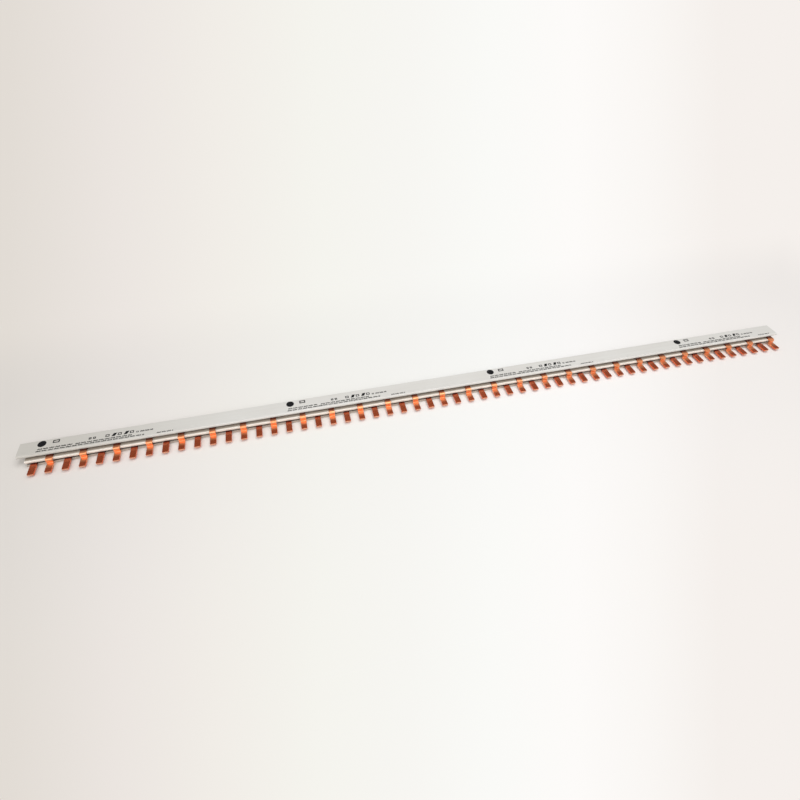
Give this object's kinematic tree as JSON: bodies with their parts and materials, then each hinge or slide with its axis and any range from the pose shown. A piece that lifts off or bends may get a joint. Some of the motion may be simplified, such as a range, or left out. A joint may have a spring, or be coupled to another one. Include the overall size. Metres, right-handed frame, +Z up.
{
  "type": "comb busbar",
  "caption": "Two-pole comb busbar: two stamped copper combs in a flat grey insulating housing, with alternating straight and stepped teeth along one edge.",
  "frame": {"origin": "centre of the bounding box, on the surface that the busbar lies on", "axes": "+X along the bar to its right end, +Y from the teeth towards the closed back, +Z up out of the cover's plain face"},
  "size_m": [1.0084, 0.0426, 0.0131],
  "materials": {
    "cover_plastic": "smooth extruded grey PVC with a soft sheen",
    "carrier_plastic": "smooth extruded grey PVC with a soft sheen",
    "copper": "bare stamped copper, lightly tarnished, brighter at the bends"
  },
  "bodies": {
    "root": {"carrier": "carrier_plastic", "lower_comb": "copper", "upper_comb": "copper", "cover": "cover_plastic"}
  },
  "joints": []
}
